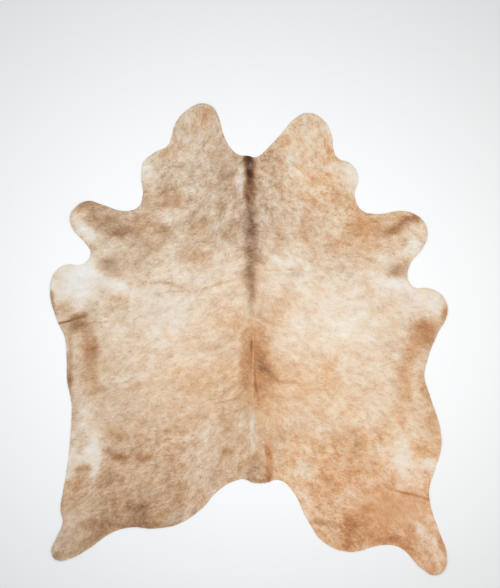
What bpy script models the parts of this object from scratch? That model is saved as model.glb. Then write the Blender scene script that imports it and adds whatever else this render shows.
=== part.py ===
"""A hair-on cowhide rug, lying flat on the ground with its hair side up.

The whole rug is one skin, so it is one solid: a sheet of leather and lying hair,
trimmed to a smooth outline with two neck lobes, four shanks, two belly lobes and
a stub where the tail was. It rests on the ground nearly everywhere. A low ridge
runs down the back, a few creases cross it, and the shanks and lobes lift a little.

Metres, +Z up, +Y from the tail to the neck. The origin is on the ground, under the
middle of the rug's box.
"""

import math

import bmesh
import bpy
from mathutils import Vector

# Thickness of the sheet
LEATHER = 0.0020
LYING_HAIR = 0.0040
THICKNESS = LEATHER + LYING_HAIR

# The outline is drawn on squared paper, and its points are counted in squares
# from a point on the middle of the back.
SQUARE = 0.005
CURVE_STEPS = 5  # straight pieces between two points of the outline

# The sheet is cut into cells, narrower ones beside the ridge of the back
CELL = 0.055
RIDGE_X = 0.017
RIDGE_CUTS = (0.007, 0.022, 0.040)
CUT_GAP = 0.012  # a plain cut that is nearer than this to a ridge cut is left out

# Outline, anticlockwise from the neck notch: (squares to the right, squares towards the neck)
OUTLINE = {
    "neck notch, left side": (
        (0, 183), (-10, 184), (-18, 190.5), (-25, 203),
    ),
    "left neck lobe": (
        (-31, 223), (-37, 232), (-46, 235), (-57, 231.5), (-73, 216.5), (-77.5, 202),
    ),
    "left shoulder": (
        (-81, 193.5), (-95, 186), (-105, 176.5), (-107, 162), (-106, 144), (-110, 132.5),
    ),
    "left fore shank": (
        (-122, 128), (-149, 135), (-160, 138), (-172, 132), (-178, 121), (-175, 109.5),
        (-163, 95.5), (-158, 86),
    ),
    "left belly lobe": (
        (-163, 76.5), (-170, 74), (-182, 74.5), (-193, 67.5), (-198, 48), (-194, 25.5),
        (-189, 13), (-184, 2),
    ),
    "left flank": (
        (-182, -22), (-181.5, -42), (-177.5, -62), (-177, -78), (-180, -118), (-186, -155),
        (-188, -169), (-186, -183.5),
    ),
    "left hind shank": (
        (-192, -198.5), (-196.5, -212), (-192, -219.5), (-180, -219), (-162, -210.5),
        (-137, -193.5), (-118, -188), (-94, -189),
    ),
    "left rump": (
        (-70, -184.5), (-49, -171), (-29, -150), (-12, -141),
    ),
    "tail stub": (
        (-4, -140), (3, -143), (11, -144), (19, -143), (24, -141), (31, -141),
    ),
    "right rump": (
        (41, -148.5), (60, -183.5), (74, -202.5), (99, -212),
    ),
    "right hind shank": (
        (136, -205.5), (150, -208), (174, -230), (186, -235), (195, -229), (197, -214),
        (190, -192.5), (181, -165), (180, -149),
    ),
    "right flank": (
        (185, -132), (191.5, -108), (190, -87), (179, -52), (175, -37), (178, -21), (188, 5),
    ),
    "right belly lobe": (
        (197, 23), (197.5, 34), (190, 46), (178, 51), (165.5, 51.5), (159, 59),
    ),
    "right fore shank": (
        (160, 73), (173, 91), (177.5, 106), (172.5, 119), (157, 127.5), (126, 125), (112, 129),
    ),
    "right shoulder": (
        (105.5, 143), (108.5, 162), (101, 175.5), (89, 180.5), (84.5, 188),
    ),
    "right neck lobe": (
        (83, 202), (75, 217.5), (59, 225.5), (46, 220), (33, 206), (19, 191), (10, 183),
        (5, 181.5),
    ),
}

# Low ridges and creases: points in squares, reach to each side and rise at the middle in metres
RIDGES = {
    "swell of the back": (((0, 150), (3, 20), (4, -120)), 0.110, 0.0040),
    "ridge of the back": (((3.5, 8), (3.5, -60)), 0.016, 0.0035),
    "crease beside the ridge": (((9, -22), (15, -35), (42, -45)), 0.018, 0.0035),
    "left flank crease": (((-196, 14.5), (-171, 20)), 0.016, 0.0040),
    "right hock crease": (((146, -150), (184, -161)), 0.018, 0.0050),
}

# Places where the sheet lifts off the ground: point in squares, reach and rise in metres
LIFTED = {
    "left neck lobe": ((-48, 240), 0.200, 0.0070),
    "right neck lobe": ((60, 232), 0.180, 0.0060),
    "left shoulder": ((-110, 166), 0.110, 0.0050),
    "right shoulder": ((112, 166), 0.110, 0.0050),
    "left fore shank": ((-182, 122), 0.190, 0.0120),
    "right fore shank": ((181, 106), 0.180, 0.0100),
    "left belly lobe": ((-203, 50), 0.150, 0.0080),
    "right belly lobe": ((202, 30), 0.140, 0.0070),
    "left flank": ((-188, -95), 0.160, 0.0050),
    "left hip": ((-192, -168), 0.110, 0.0040),
    "right flank": ((198, -100), 0.150, 0.0060),
    "left hind shank": ((-199, -222), 0.240, 0.0140),
    "right hind shank": ((192, -240), 0.220, 0.0120),
    "left rump": ((-100, -194), 0.120, 0.0050),
    "right rump": ((100, -217), 0.130, 0.0050),
    "tail stub": ((11, -148), 0.090, 0.0040),
}

CUT_REACH = 0.0015  # a corner that is nearer than this to a cut counts as lying on it
HAIR_COLOUR = (0.64, 0.47, 0.31, 1.0)
HAIR_ROUGHNESS = 0.72


def remove_scene_objects():
    for item in list(bpy.data.objects):
        bpy.data.objects.remove(item, do_unlink=True)


def new_collection(name):
    group = bpy.data.collections.new(name)
    bpy.context.scene.collection.children.link(group)
    return group


def hair_on_leather():
    """Light tan hair on leather, as one plain finish."""
    material = bpy.data.materials.new("hair-on leather")
    material.use_nodes = True
    shader = material.node_tree.nodes["Principled BSDF"]
    shader.inputs["Base Color"].default_value = HAIR_COLOUR
    shader.inputs["Roughness"].default_value = HAIR_ROUGHNESS
    shader.inputs["Metallic"].default_value = 0.0
    material.diffuse_color = HAIR_COLOUR
    return material


def on_paper(point):
    """A point of the squared paper, in metres."""
    return Vector((point[0] * SQUARE, point[1] * SQUARE, 0.0))


def outline_mesh():
    """The trimmed edge as a smooth closed line through the outline's points."""
    points = [on_paper(point) for stretch in OUTLINE.values() for point in stretch]
    curve = bpy.data.curves.new("outline", "CURVE")
    curve.dimensions = "2D"
    curve.fill_mode = "NONE"
    curve.resolution_u = CURVE_STEPS
    spline = curve.splines.new("BEZIER")
    spline.bezier_points.add(len(points) - 1)
    for knot, point in zip(spline.bezier_points, points):
        knot.co = point
        knot.handle_left_type = "AUTO"
        knot.handle_right_type = "AUTO"
    spline.use_cyclic_u = True

    guide = bpy.data.objects.new("outline", curve)
    bpy.context.scene.collection.objects.link(guide)
    evaluated = guide.evaluated_get(bpy.context.evaluated_depsgraph_get())
    line = bpy.data.meshes.new_from_object(evaluated)
    bpy.data.objects.remove(guide, do_unlink=True)
    return line


def cut(sheet, faces, place, across):
    """Cut these faces along the upright plane through place, at right angles to across."""
    corners = {corner for face in faces for corner in face.verts}
    edges = {edge for face in faces for edge in face.edges}
    bmesh.ops.bisect_plane(
        sheet,
        geom=list(corners) + list(edges) + list(faces),
        dist=CUT_REACH,
        plane_co=place,
        plane_no=across,
    )


def even_cuts(low, high):
    """Places of the even cuts between two sides of the sheet."""
    count = math.ceil((high - low) / CELL)
    return [low + (high - low) * number / count for number in range(1, count)]


def cut_into_cells(sheet):
    xs = [corner.co.x for corner in sheet.verts]
    ys = [corner.co.y for corner in sheet.verts]
    beside_ridge = [RIDGE_X + side * gap for gap in RIDGE_CUTS for side in (-1, 1)]
    beside_ridge.append(RIDGE_X)
    plain = [
        x for x in even_cuts(min(xs), max(xs))
        if all(abs(x - near) > CUT_GAP for near in beside_ridge)
    ]
    for x in sorted(plain + beside_ridge):
        cut(sheet, sheet.faces[:], Vector((x, 0, 0)), Vector((1, 0, 0)))
    for y in even_cuts(min(ys), max(ys)):
        cut(sheet, sheet.faces[:], Vector((0, y, 0)), Vector((0, 1, 0)))


def nearest_on_line(point, line):
    """Distance from a point to a line of straight runs."""
    gaps = []
    for start, end in zip(line, line[1:]):
        run = end - start
        share = (point - start).dot(run) / run.length_squared
        share = min(max(share, 0.0), 1.0)
        gaps.append((point - start - share * run).length)
    return min(gaps)


def cut_along_creases(sheet):
    """A cut along the middle and along each foot of every narrow crease."""
    for points, reach, _ in RIDGES.values():
        if reach > CELL:
            continue
        line = [on_paper(point) for point in points]
        for start, end in zip(line, line[1:]):
            along = (end - start).normalized()
            across = Vector((-along.y, along.x, 0.0))
            for offset in (-reach, 0.0, reach):
                near = [
                    face for face in sheet.faces
                    if any(
                        nearest_on_line(corner.co, [start, end]) < reach
                        for corner in face.verts
                    )
                ]
                cut(sheet, near, start + offset * across, across)


def fade(distance, reach):
    """One at the middle, falling smoothly to nothing at the reach."""
    share = min(distance / reach, 1.0)
    return (1.0 - share * share) ** 2


def height(point):
    """Height of the sheet's underside over the ground."""
    total = 0.0
    for points, reach, rise in RIDGES.values():
        line = [on_paper(corner) for corner in points]
        total += rise * fade(nearest_on_line(point, line), reach)
    for place, reach, rise in LIFTED.values():
        total += rise * fade((point - on_paper(place)).length, reach)
    return total


def make_hide(group):
    """The skin: its underside is laid out, cut into cells, lifted and then thickened upwards."""
    mesh = outline_mesh()
    sheet = bmesh.new()
    sheet.from_mesh(mesh)
    bmesh.ops.contextual_create(sheet, geom=sheet.edges[:])
    if sheet.faces[:][0].normal.z < 0:
        bmesh.ops.reverse_faces(sheet, faces=sheet.faces[:])
    cut_into_cells(sheet)
    cut_along_creases(sheet)
    for corner in sheet.verts:
        corner.co.z = height(corner.co)
    sheet.to_mesh(mesh)
    sheet.free()

    hide = bpy.data.objects.new("hide", mesh)
    group.objects.link(hide)
    hide.data.materials.append(hair_on_leather())
    skin = hide.modifiers.new("skin and hair", "SOLIDIFY")
    skin.thickness = THICKNESS
    skin.offset = 1.0
    skin.use_even_offset = True
    skin.use_rim = True
    return hide


def main():
    remove_scene_objects()
    rug = new_collection("cowhide rug")
    make_hide(rug)


main()
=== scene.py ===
# %% [markdown]
# # A hair-on cowhide rug
#
# The rug is one whole skin, tanned with its hair left on and trimmed to a smooth
# outline. It lies flat with the hair side up. This lesson builds the thin sheet with its
# low ridge and creases, then the colours of the coat, and last the short lying hair.

# %% Load the construction model
import math

import bmesh
import bpy
import numpy as np
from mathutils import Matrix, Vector


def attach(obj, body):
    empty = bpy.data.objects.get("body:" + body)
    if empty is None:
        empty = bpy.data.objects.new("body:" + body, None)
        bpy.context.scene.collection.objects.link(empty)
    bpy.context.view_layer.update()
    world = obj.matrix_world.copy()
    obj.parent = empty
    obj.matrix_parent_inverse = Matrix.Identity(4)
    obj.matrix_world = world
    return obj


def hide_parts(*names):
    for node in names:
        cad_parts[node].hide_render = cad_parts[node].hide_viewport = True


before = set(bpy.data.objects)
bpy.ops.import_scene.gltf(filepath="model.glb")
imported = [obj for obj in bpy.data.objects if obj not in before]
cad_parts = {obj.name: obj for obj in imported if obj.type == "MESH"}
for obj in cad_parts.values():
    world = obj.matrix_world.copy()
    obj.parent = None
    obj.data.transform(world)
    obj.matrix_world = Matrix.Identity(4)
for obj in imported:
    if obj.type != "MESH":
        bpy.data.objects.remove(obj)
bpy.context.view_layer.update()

# %% [markdown]
# ## Sizes
#
# A pattern cutter draws a hide on squared paper. Every place on this rug is given in
# squares of 5 mm, to the right of the back line and towards the neck. Heights and
# thicknesses are in metres.

# %% Sizes
SQUARE = 0.005
SHEET = 0.0030  # leather and the dense hair at its roots
CELL = 0.010
CURVE_STEPS = 12
BLADES_PER_PIECE = 195000  # in the largest piece of fur
print("cells of", CELL * 1000, "mm, at most", BLADES_PER_PIECE, "blades in a piece of fur")

# %% [markdown]
# ## Camera
#
# A rug is shown from straight above, so that its whole outline reads. A slanted view would
# show its thickness, but the far half would look short.

# %% Camera
PICTURE_HEIGHT = 588  # in pixels, each as wide as a square
SENSOR = 0.036
LENS = 0.060
VIEW_CENTRE = (0.005, 0.225)


def link_object(name, data):
    piece = bpy.data.objects.new(name, data)
    bpy.context.scene.collection.objects.link(piece)
    return piece


view_height = PICTURE_HEIGHT * SQUARE
camera_data = bpy.data.cameras.new("camera")
camera_data.lens = LENS * 1000
camera_data.sensor_width = SENSOR * 1000
camera = link_object("camera", camera_data)
camera.location = (*VIEW_CENTRE, view_height * LENS / SENSOR)
bpy.context.scene.camera = camera
print("camera", round(camera.location.z, 2), "m above the floor")

# %% [markdown]
# ## Floor and light
#
# The floor is a wide pale sheet, a soft white world lights everything evenly, and two
# large lamps overhead, one a little cool and one a little warm, give the faint fall-off
# of a studio floor. Soft light keeps the nap readable without hard shadows.

# %% Floor and light
FLOOR_HALF = 40.0
FLOOR_COLOUR = (0.83, 0.84, 0.85, 1.0)
FLOOR_ROUGHNESS = 0.9
WORLD_COLOUR = (1.0, 1.0, 1.0, 1.0)
WORLD_STRENGTH = 0.41
LAMPS = {  # name: place, size, power in watts, colour
    "cool lamp": ((-0.7, 0.25, 2.9), 1.8, 44.0, (0.93, 0.97, 1.0)),
    "warm lamp": ((0.8, 0.0, 2.9), 1.8, 44.0, (1.0, 0.97, 0.94)),
}


def plain_material(name, colour, roughness):
    """One plain finish."""
    material = bpy.data.materials.new(name)
    material.use_nodes = True
    shader = material.node_tree.nodes["Principled BSDF"]
    shader.inputs["Base Color"].default_value = colour
    shader.inputs["Roughness"].default_value = roughness
    return material


floor_shape = bmesh.new()
bmesh.ops.create_grid(floor_shape, x_segments=1, y_segments=1, size=FLOOR_HALF)
floor_mesh = bpy.data.meshes.new("floor")
floor_shape.to_mesh(floor_mesh)
floor_shape.free()
floor = link_object("floor", floor_mesh)
floor.data.materials.append(plain_material("pale floor", FLOOR_COLOUR, FLOOR_ROUGHNESS))

world = bpy.data.worlds.new("soft white")
world.use_nodes = True
background = world.node_tree.nodes["Background"].inputs
background["Color"].default_value = WORLD_COLOUR
background["Strength"].default_value = WORLD_STRENGTH
bpy.context.scene.world = world
bpy.context.scene.view_settings.view_transform = "Standard"

for name, (place, size, power, colour) in LAMPS.items():
    lamp = bpy.data.lights.new(name, "AREA")
    lamp.shape = "DISK"
    lamp.size = size
    lamp.energy = power
    lamp.color = colour
    link_object(name, lamp).location = place
print("lamps:", list(LAMPS))

# %% [markdown]
# ## The outline
#
# The skin is trimmed to two neck lobes, two shoulders, four shanks, two belly lobes and
# a stub where the tail was. The outline is one closed curve through a few points for
# each of them. Blender's automatic handles give it the even sweep of a knife cut.
#
# Another way would be to draw many short straight cuts, but that shows corners from
# close by.

# %% The outline, anticlockwise from the neck notch
OUTLINE = {
    "neck notch, left side": ((0, 183), (-10, 184), (-18, 190.5), (-25, 203)),
    "left neck lobe": ((-31, 223), (-37, 232), (-46, 235), (-57, 231.5), (-73, 216.5), (-77.5, 202)),
    "left shoulder": ((-81, 193.5), (-95, 186), (-105, 176.5), (-107, 162), (-106, 144), (-110, 132.5)),
    "left fore shank": (
        (-122, 128), (-149, 135), (-160, 138), (-172, 132), (-178, 121), (-175, 109.5),
        (-163, 95.5), (-158, 86),
    ),
    "left belly lobe": (
        (-163, 76.5), (-170, 74), (-182, 74.5), (-193, 67.5), (-198, 48), (-194, 25.5),
        (-189, 13), (-184, 2),
    ),
    "left flank": (
        (-182, -22), (-181.5, -42), (-177.5, -62), (-177, -78), (-180, -118), (-186, -155),
        (-188, -169), (-186, -183.5),
    ),
    "left hind shank": (
        (-192, -198.5), (-196.5, -212), (-192, -219.5), (-180, -219), (-162, -210.5),
        (-137, -193.5), (-118, -188), (-94, -189),
    ),
    "left rump": ((-70, -184.5), (-49, -171), (-29, -150), (-12, -141)),
    "tail stub": ((-4, -140), (3, -143), (11, -144), (19, -143), (24, -141), (31, -141)),
    "right rump": ((41, -148.5), (60, -183.5), (74, -202.5), (99, -212)),
    "right hind shank": (
        (136, -205.5), (150, -208), (174, -230), (186, -235), (195, -229), (197, -214),
        (190, -192.5), (181, -165), (180, -149),
    ),
    "right flank": (
        (185, -132), (191.5, -108), (190, -87), (179, -52), (175, -37), (178, -21), (188, 5),
    ),
    "right belly lobe": ((197, 23), (197.5, 34), (190, 46), (178, 51), (165.5, 51.5), (159, 59)),
    "right fore shank": (
        (160, 73), (173, 91), (177.5, 106), (172.5, 119), (157, 127.5), (126, 125), (112, 129),
    ),
    "right shoulder": ((105.5, 143), (108.5, 162), (101, 175.5), (89, 180.5), (84.5, 188)),
    "right neck lobe": (
        (83, 202), (75, 217.5), (59, 225.5), (46, 220), (33, 206), (19, 191), (10, 183),
        (5, 181.5),
    ),
}


def outline_mesh():
    """The trimmed edge as a smooth closed line."""
    points = [point for stretch in OUTLINE.values() for point in stretch]
    curve = bpy.data.curves.new("outline", "CURVE")
    curve.dimensions = "2D"
    curve.fill_mode = "NONE"
    curve.resolution_u = CURVE_STEPS
    spline = curve.splines.new("BEZIER")
    spline.bezier_points.add(len(points) - 1)
    for knot, (right, up) in zip(spline.bezier_points, points):
        knot.co = (right * SQUARE, up * SQUARE, 0.0)
        knot.handle_left_type = "AUTO"
        knot.handle_right_type = "AUTO"
    spline.use_cyclic_u = True
    guide = link_object("outline", curve)
    evaluated = guide.evaluated_get(bpy.context.evaluated_depsgraph_get())
    line = bpy.data.meshes.new_from_object(evaluated)
    bpy.data.objects.remove(guide, do_unlink=True)
    return line


def corners_of(mesh):
    """The mesh's corner points as rows of x, y, z."""
    flat = np.zeros(len(mesh.vertices) * 3, np.float32)
    mesh.vertices.foreach_get("co", flat)
    return flat.reshape(-1, 3).astype(float)


hide_mesh = outline_mesh()
edge_line = corners_of(hide_mesh)[:, :2]
ahead = np.roll(edge_line, -1, axis=0)
FLAT_AREA = 0.5 * abs(np.sum(edge_line[:, 0] * ahead[:, 1] - ahead[:, 0] * edge_line[:, 1]))

# %% [markdown]
# ## From outline to cells
#
# The outline is filled with one face, and straight cuts divide that face into small
# square cells, which can then follow the ridge and the creases. Cutting in halves,
# and then each half in halves, keeps each cut short.

# %% Cut the sheet into cells
CUT_REACH = 0.0006  # a corner nearer than this to a cut counts as lying on it


def cut_evenly(sheet, faces, axis, places):
    """Cut the faces at every place along the axis, the middle one first."""
    if not places or not faces:
        return
    middle = len(places) // 2
    plane = Vector((0, 0, 0))
    plane[axis] = places[middle]
    across = Vector((0, 0, 0))
    across[axis] = 1.0
    edges = {edge for face in faces for edge in face.edges}
    corners = {corner for face in faces for corner in face.verts}
    made = bmesh.ops.bisect_plane(
        sheet,
        geom=[*corners, *edges, *faces],
        dist=CUT_REACH,
        plane_co=plane,
        plane_no=across,
    )
    whole = [part for part in made["geom"] if isinstance(part, bmesh.types.BMFace)]
    below = [face for face in whole if face.calc_center_bounds()[axis] < places[middle]]
    above = [face for face in whole if face.calc_center_bounds()[axis] >= places[middle]]
    cut_evenly(sheet, below, axis, places[:middle])
    cut_evenly(sheet, above, axis, places[middle + 1:])


def cut_places(low, high):
    count = math.ceil((high - low) / CELL)
    return [low + (high - low) * step / count for step in range(1, count)]


sheet = bmesh.new()
sheet.from_mesh(hide_mesh)
bmesh.ops.contextual_create(sheet, geom=sheet.edges[:])
if sheet.faces[:][0].normal.z < 0:
    bmesh.ops.reverse_faces(sheet, faces=sheet.faces[:])
for axis in (0, 1):
    places = cut_places(edge_line[:, axis].min(), edge_line[:, axis].max())
    cut_evenly(sheet, sheet.faces[:], axis, places)
print("cells:", len(sheet.faces))

# %% [markdown]
# ## Relief
#
# A hide is never quite flat. Its back keeps a low swell and, over the loin, a sharp
# ridge. Creases run in from the flank and the hock, small pulls fan out beside
# the ridge, and the thin shanks and lobes lift off the floor. Each form is a soft
# bump: full at its middle and fading to nothing at its reach.

# %% Relief
RIDGES = {  # name: points in squares, reach and rise in metres
    "swell of the back": (((0, 150), (3, 20), (4, -120)), 0.11, 0.004),
    "ridge of the back": (((3.5, 8), (3.5, -60)), 0.016, 0.0035),
    "crease beside the ridge": (((9, -20), (15, -34), (42, -45)), 0.018, 0.0016),
    "left flank crease": (((-196, 14.5), (-171, 20)), 0.016, 0.004),
    "right hock crease": (((146, -150), (184, -161)), 0.018, 0.005),
}
LIFTED = {  # name: place in squares, reach and rise in metres
    "left neck lobe": ((-48, 240), 0.2, 0.007),
    "right neck lobe": ((60, 232), 0.18, 0.006),
    "left shoulder": ((-110, 166), 0.11, 0.005),
    "right shoulder": ((112, 166), 0.11, 0.005),
    "left fore shank": ((-182, 122), 0.19, 0.012),
    "right fore shank": ((181, 106), 0.18, 0.01),
    "left belly lobe": ((-203, 50), 0.15, 0.008),
    "right belly lobe": ((202, 30), 0.14, 0.007),
    "left flank": ((-188, -95), 0.16, 0.005),
    "left hip": ((-192, -168), 0.11, 0.004),
    "right flank": ((198, -100), 0.15, 0.006),
    "left hind shank": ((-199, -222), 0.24, 0.014),
    "right hind shank": ((192, -240), 0.22, 0.012),
    "left rump": ((-100, -194), 0.12, 0.005),
    "right rump": ((100, -217), 0.13, 0.005),
    "tail stub": ((11, -148), 0.09, 0.004),
}
PULLS = {  # fine wrinkles: name: points in squares, reach and rise in metres
    "upper pull": (((-4, -50), (-13, -58.5), (-25, -63), (-44, -66)), 0.007, 0.0014),
    "lower pull": (((-4, -68), (-18, -74), (-34, -78), (-48, -78)), 0.007, 0.0012),
    "loin pull": (((42, -45), (66, -43)), 0.008, 0.001),
    "belly pull": (((-171, 20), (-130, 19), (-60, 21)), 0.008, 0.001),
    "thigh pull": (((62, -180), (80, -186), (96, -187)), 0.008, 0.0014),
    "hock pull": (((140, -190), (160, -186), (186, -192)), 0.009, 0.0012),
    "chest pull": (((-114, 52), (-104, 57), (-86, 57), (-66, 51)), 0.009, 0.0012),
    "back pull": (((-49, 49), (-28, 56), (-9, 62)), 0.009, 0.0012),
    "rib pull": (((60, 64), (100, 58), (140, 60)), 0.009, 0.0008),
}


def fade(distance, reach):
    """One at the middle, falling smoothly to nothing at the reach."""
    share = np.minimum(distance / reach, 1.0)
    return (1.0 - share * share) ** 2


def from_line(x, y, points):
    """Distance from every place to a line of straight runs, in metres."""
    nearest = np.full(x.shape, np.inf)
    for (x0, y0), (x1, y1) in zip(points, points[1:]):
        start = np.array((x0, y0)) * SQUARE
        run = np.array((x1 - x0, y1 - y0)) * SQUARE
        share = ((x - start[0]) * run[0] + (y - start[1]) * run[1]) / (run @ run)
        share = np.clip(share, 0.0, 1.0)
        gap = np.hypot(x - start[0] - share * run[0], y - start[1] - share * run[1])
        nearest = np.minimum(nearest, gap)
    return nearest


def height(x, y):
    """Height of the sheet's underside over the floor."""
    total = np.zeros(x.shape)
    for points, reach, rise in [*RIDGES.values(), *PULLS.values()]:
        total += rise * fade(from_line(x, y, points), reach)
    for (right, up), reach, rise in LIFTED.values():
        total += rise * fade(np.hypot(x - right * SQUARE, y - up * SQUARE), reach)
    return total


sheet.to_mesh(hide_mesh)
sheet.free()
places = corners_of(hide_mesh)
places[:, 2] = height(places[:, 0], places[:, 1])
hide_mesh.vertices.foreach_set("co", places.astype(np.float32).ravel())
hide_mesh.update()
print("highest lift", round(places[:, 2].max() * 1000, 1), "mm")

# %% [markdown]
# ## Hair colours
#
# The coat has four families of hair, from mauve smoke through cool ash and warm honey
# to rust. Each runs from near white to dark brown. Any place on the coat is told by
# two numbers: its shade, 0 for white and 1 for the darkest hair, and its warmth, which
# picks the family. Each patch could have its own colour instead, but two numbers keep
# them all in one range.

# %% Hair colours
SHADES = (0.0, 0.2, 0.4, 0.6, 0.8, 1.0)
HAIR = {  # warmth: screen colours, 0 to 255, at those shades
    -1.0: (  # smoke
        (233, 231, 230), (222, 206, 192), (204, 177, 157), (178, 147, 123), (142, 110, 90),
        (70, 45, 34),
    ),
    0.0: (  # ash
        (233, 232, 229), (224, 209, 190), (207, 182, 156), (183, 151, 119), (154, 117, 86),
        (74, 46, 30),
    ),
    1.0: (  # honey
        (239, 233, 224), (234, 212, 184), (225, 184, 142), (209, 154, 103), (186, 122, 74),
        (88, 49, 26),
    ),
    2.0: (  # rust
        (240, 230, 222), (238, 207, 182), (227, 181, 138), (210, 150, 100), (184, 117, 70),
        (92, 48, 27),
    ),
}


def to_linear(colour):
    """Screen colours, 0 to 255, as the light values that shaders use."""
    share = np.asarray(colour, float) / 255.0
    return np.where(share <= 0.04045, share / 12.92, ((share + 0.055) / 1.055) ** 2.4)


def hair_colour(shade, warmth):
    """The colour of hair of this shade and warmth, as rows of red, green and blue."""
    total = 0.0
    for family_warmth, family in HAIR.items():
        bands = [np.interp(shade, SHADES, band) for band in np.array(family).T]
        part = np.clip(1.0 - abs(warmth - family_warmth), 0.0, 1.0)
        total = total + np.stack(bands, axis=-1) * part[..., None]
    return to_linear(total)


print("middle tan:", hair_colour(np.array(0.4), np.array(0.5)).round(3))

# %% [markdown]
# ## The coat's ground shade
#
# Over the whole skin the shade and warmth drift slowly: paler on the ribs, darker on
# the shoulders and thighs, cooler on the left half and warmer on the right. Each
# region has one row. A place takes the average of the regions near it, which
# gives soft changes with no borders.

# %% Ground shades
REGION_REACH = 0.30
REGION_FALL = 2.0  # how fast a region's say fades
FAINT = 1e-9  # so that no average divides by nothing
REGIONS = {  # place in squares, shade and warmth in hundredths
    "left neck lobe": (-49, 224, 38, 40),
    "left neck": (-54, 194, 20, 20),
    "left shoulder": (-89, 149, 40, 15),
    "left of the neck line": (-21, 165, 44, -15),
    "right neck lobe": (61, 217, 15, 90),
    "right neck": (51, 179, 33, 115),
    "right shoulder": (86, 154, 43, 85),
    "left fore shank": (-149, 117, 48, 0),
    "right fore shank": (141, 117, 33, 55),
    "left chest": (-79, 99, 33, 0),
    "right chest": (41, 99, 34, 0),
    "right brisket": (96, 104, 36, 60),
    "left ribs": (-79, 39, 8, 20),
    "left belly": (-139, 34, 29, 5),
    "left middle back": (-24, 29, 34, 50),
    "right middle back": (26, 34, 31, 60),
    "right ribs": (81, 39, 6, 25),
    "right belly": (141, 29, 24, 25),
    "left loin": (-99, -11, 20, 40),
    "left back": (-34, -11, 34, 60),
    "right loin": (81, -11, 20, 50),
    "right back": (36, -11, 43, 85),
    "left flank": (-139, -56, 34, 10),
    "left hip": (-119, -101, 38, 30),
    "left croup": (-64, -101, 42, 65),
    "left of the tail": (-24, -115, 38, 10),
    "left thigh": (-99, -146, 48, 30),
    "left hind shank": (-164, -191, 42, 20),
    "right flank": (121, -61, 32, 65),
    "right hip": (91, -101, 33, 95),
    "right croup": (41, -101, 39, 85),
    "right thigh": (91, -151, 39, 190),
    "right hock": (141, -171, 38, 190),
    "right hind shank": (176, -206, 40, 200),
}


def ground(x, y):
    """Shade and warmth of the coat before its patches."""
    total = np.full(x.shape, FAINT)
    shade = np.zeros(x.shape)
    warmth = np.zeros(x.shape)
    for right, up, region_shade, region_warmth in REGIONS.values():
        apart = ((x - right * SQUARE) ** 2 + (y - up * SQUARE) ** 2) / REGION_REACH ** 2
        weight = np.exp(-apart * REGION_FALL)
        total += weight
        shade += weight * (region_shade / 100)
        warmth += weight * (region_warmth / 100)
    return shade / total, warmth / total


print("regions:", len(REGIONS))
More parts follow.
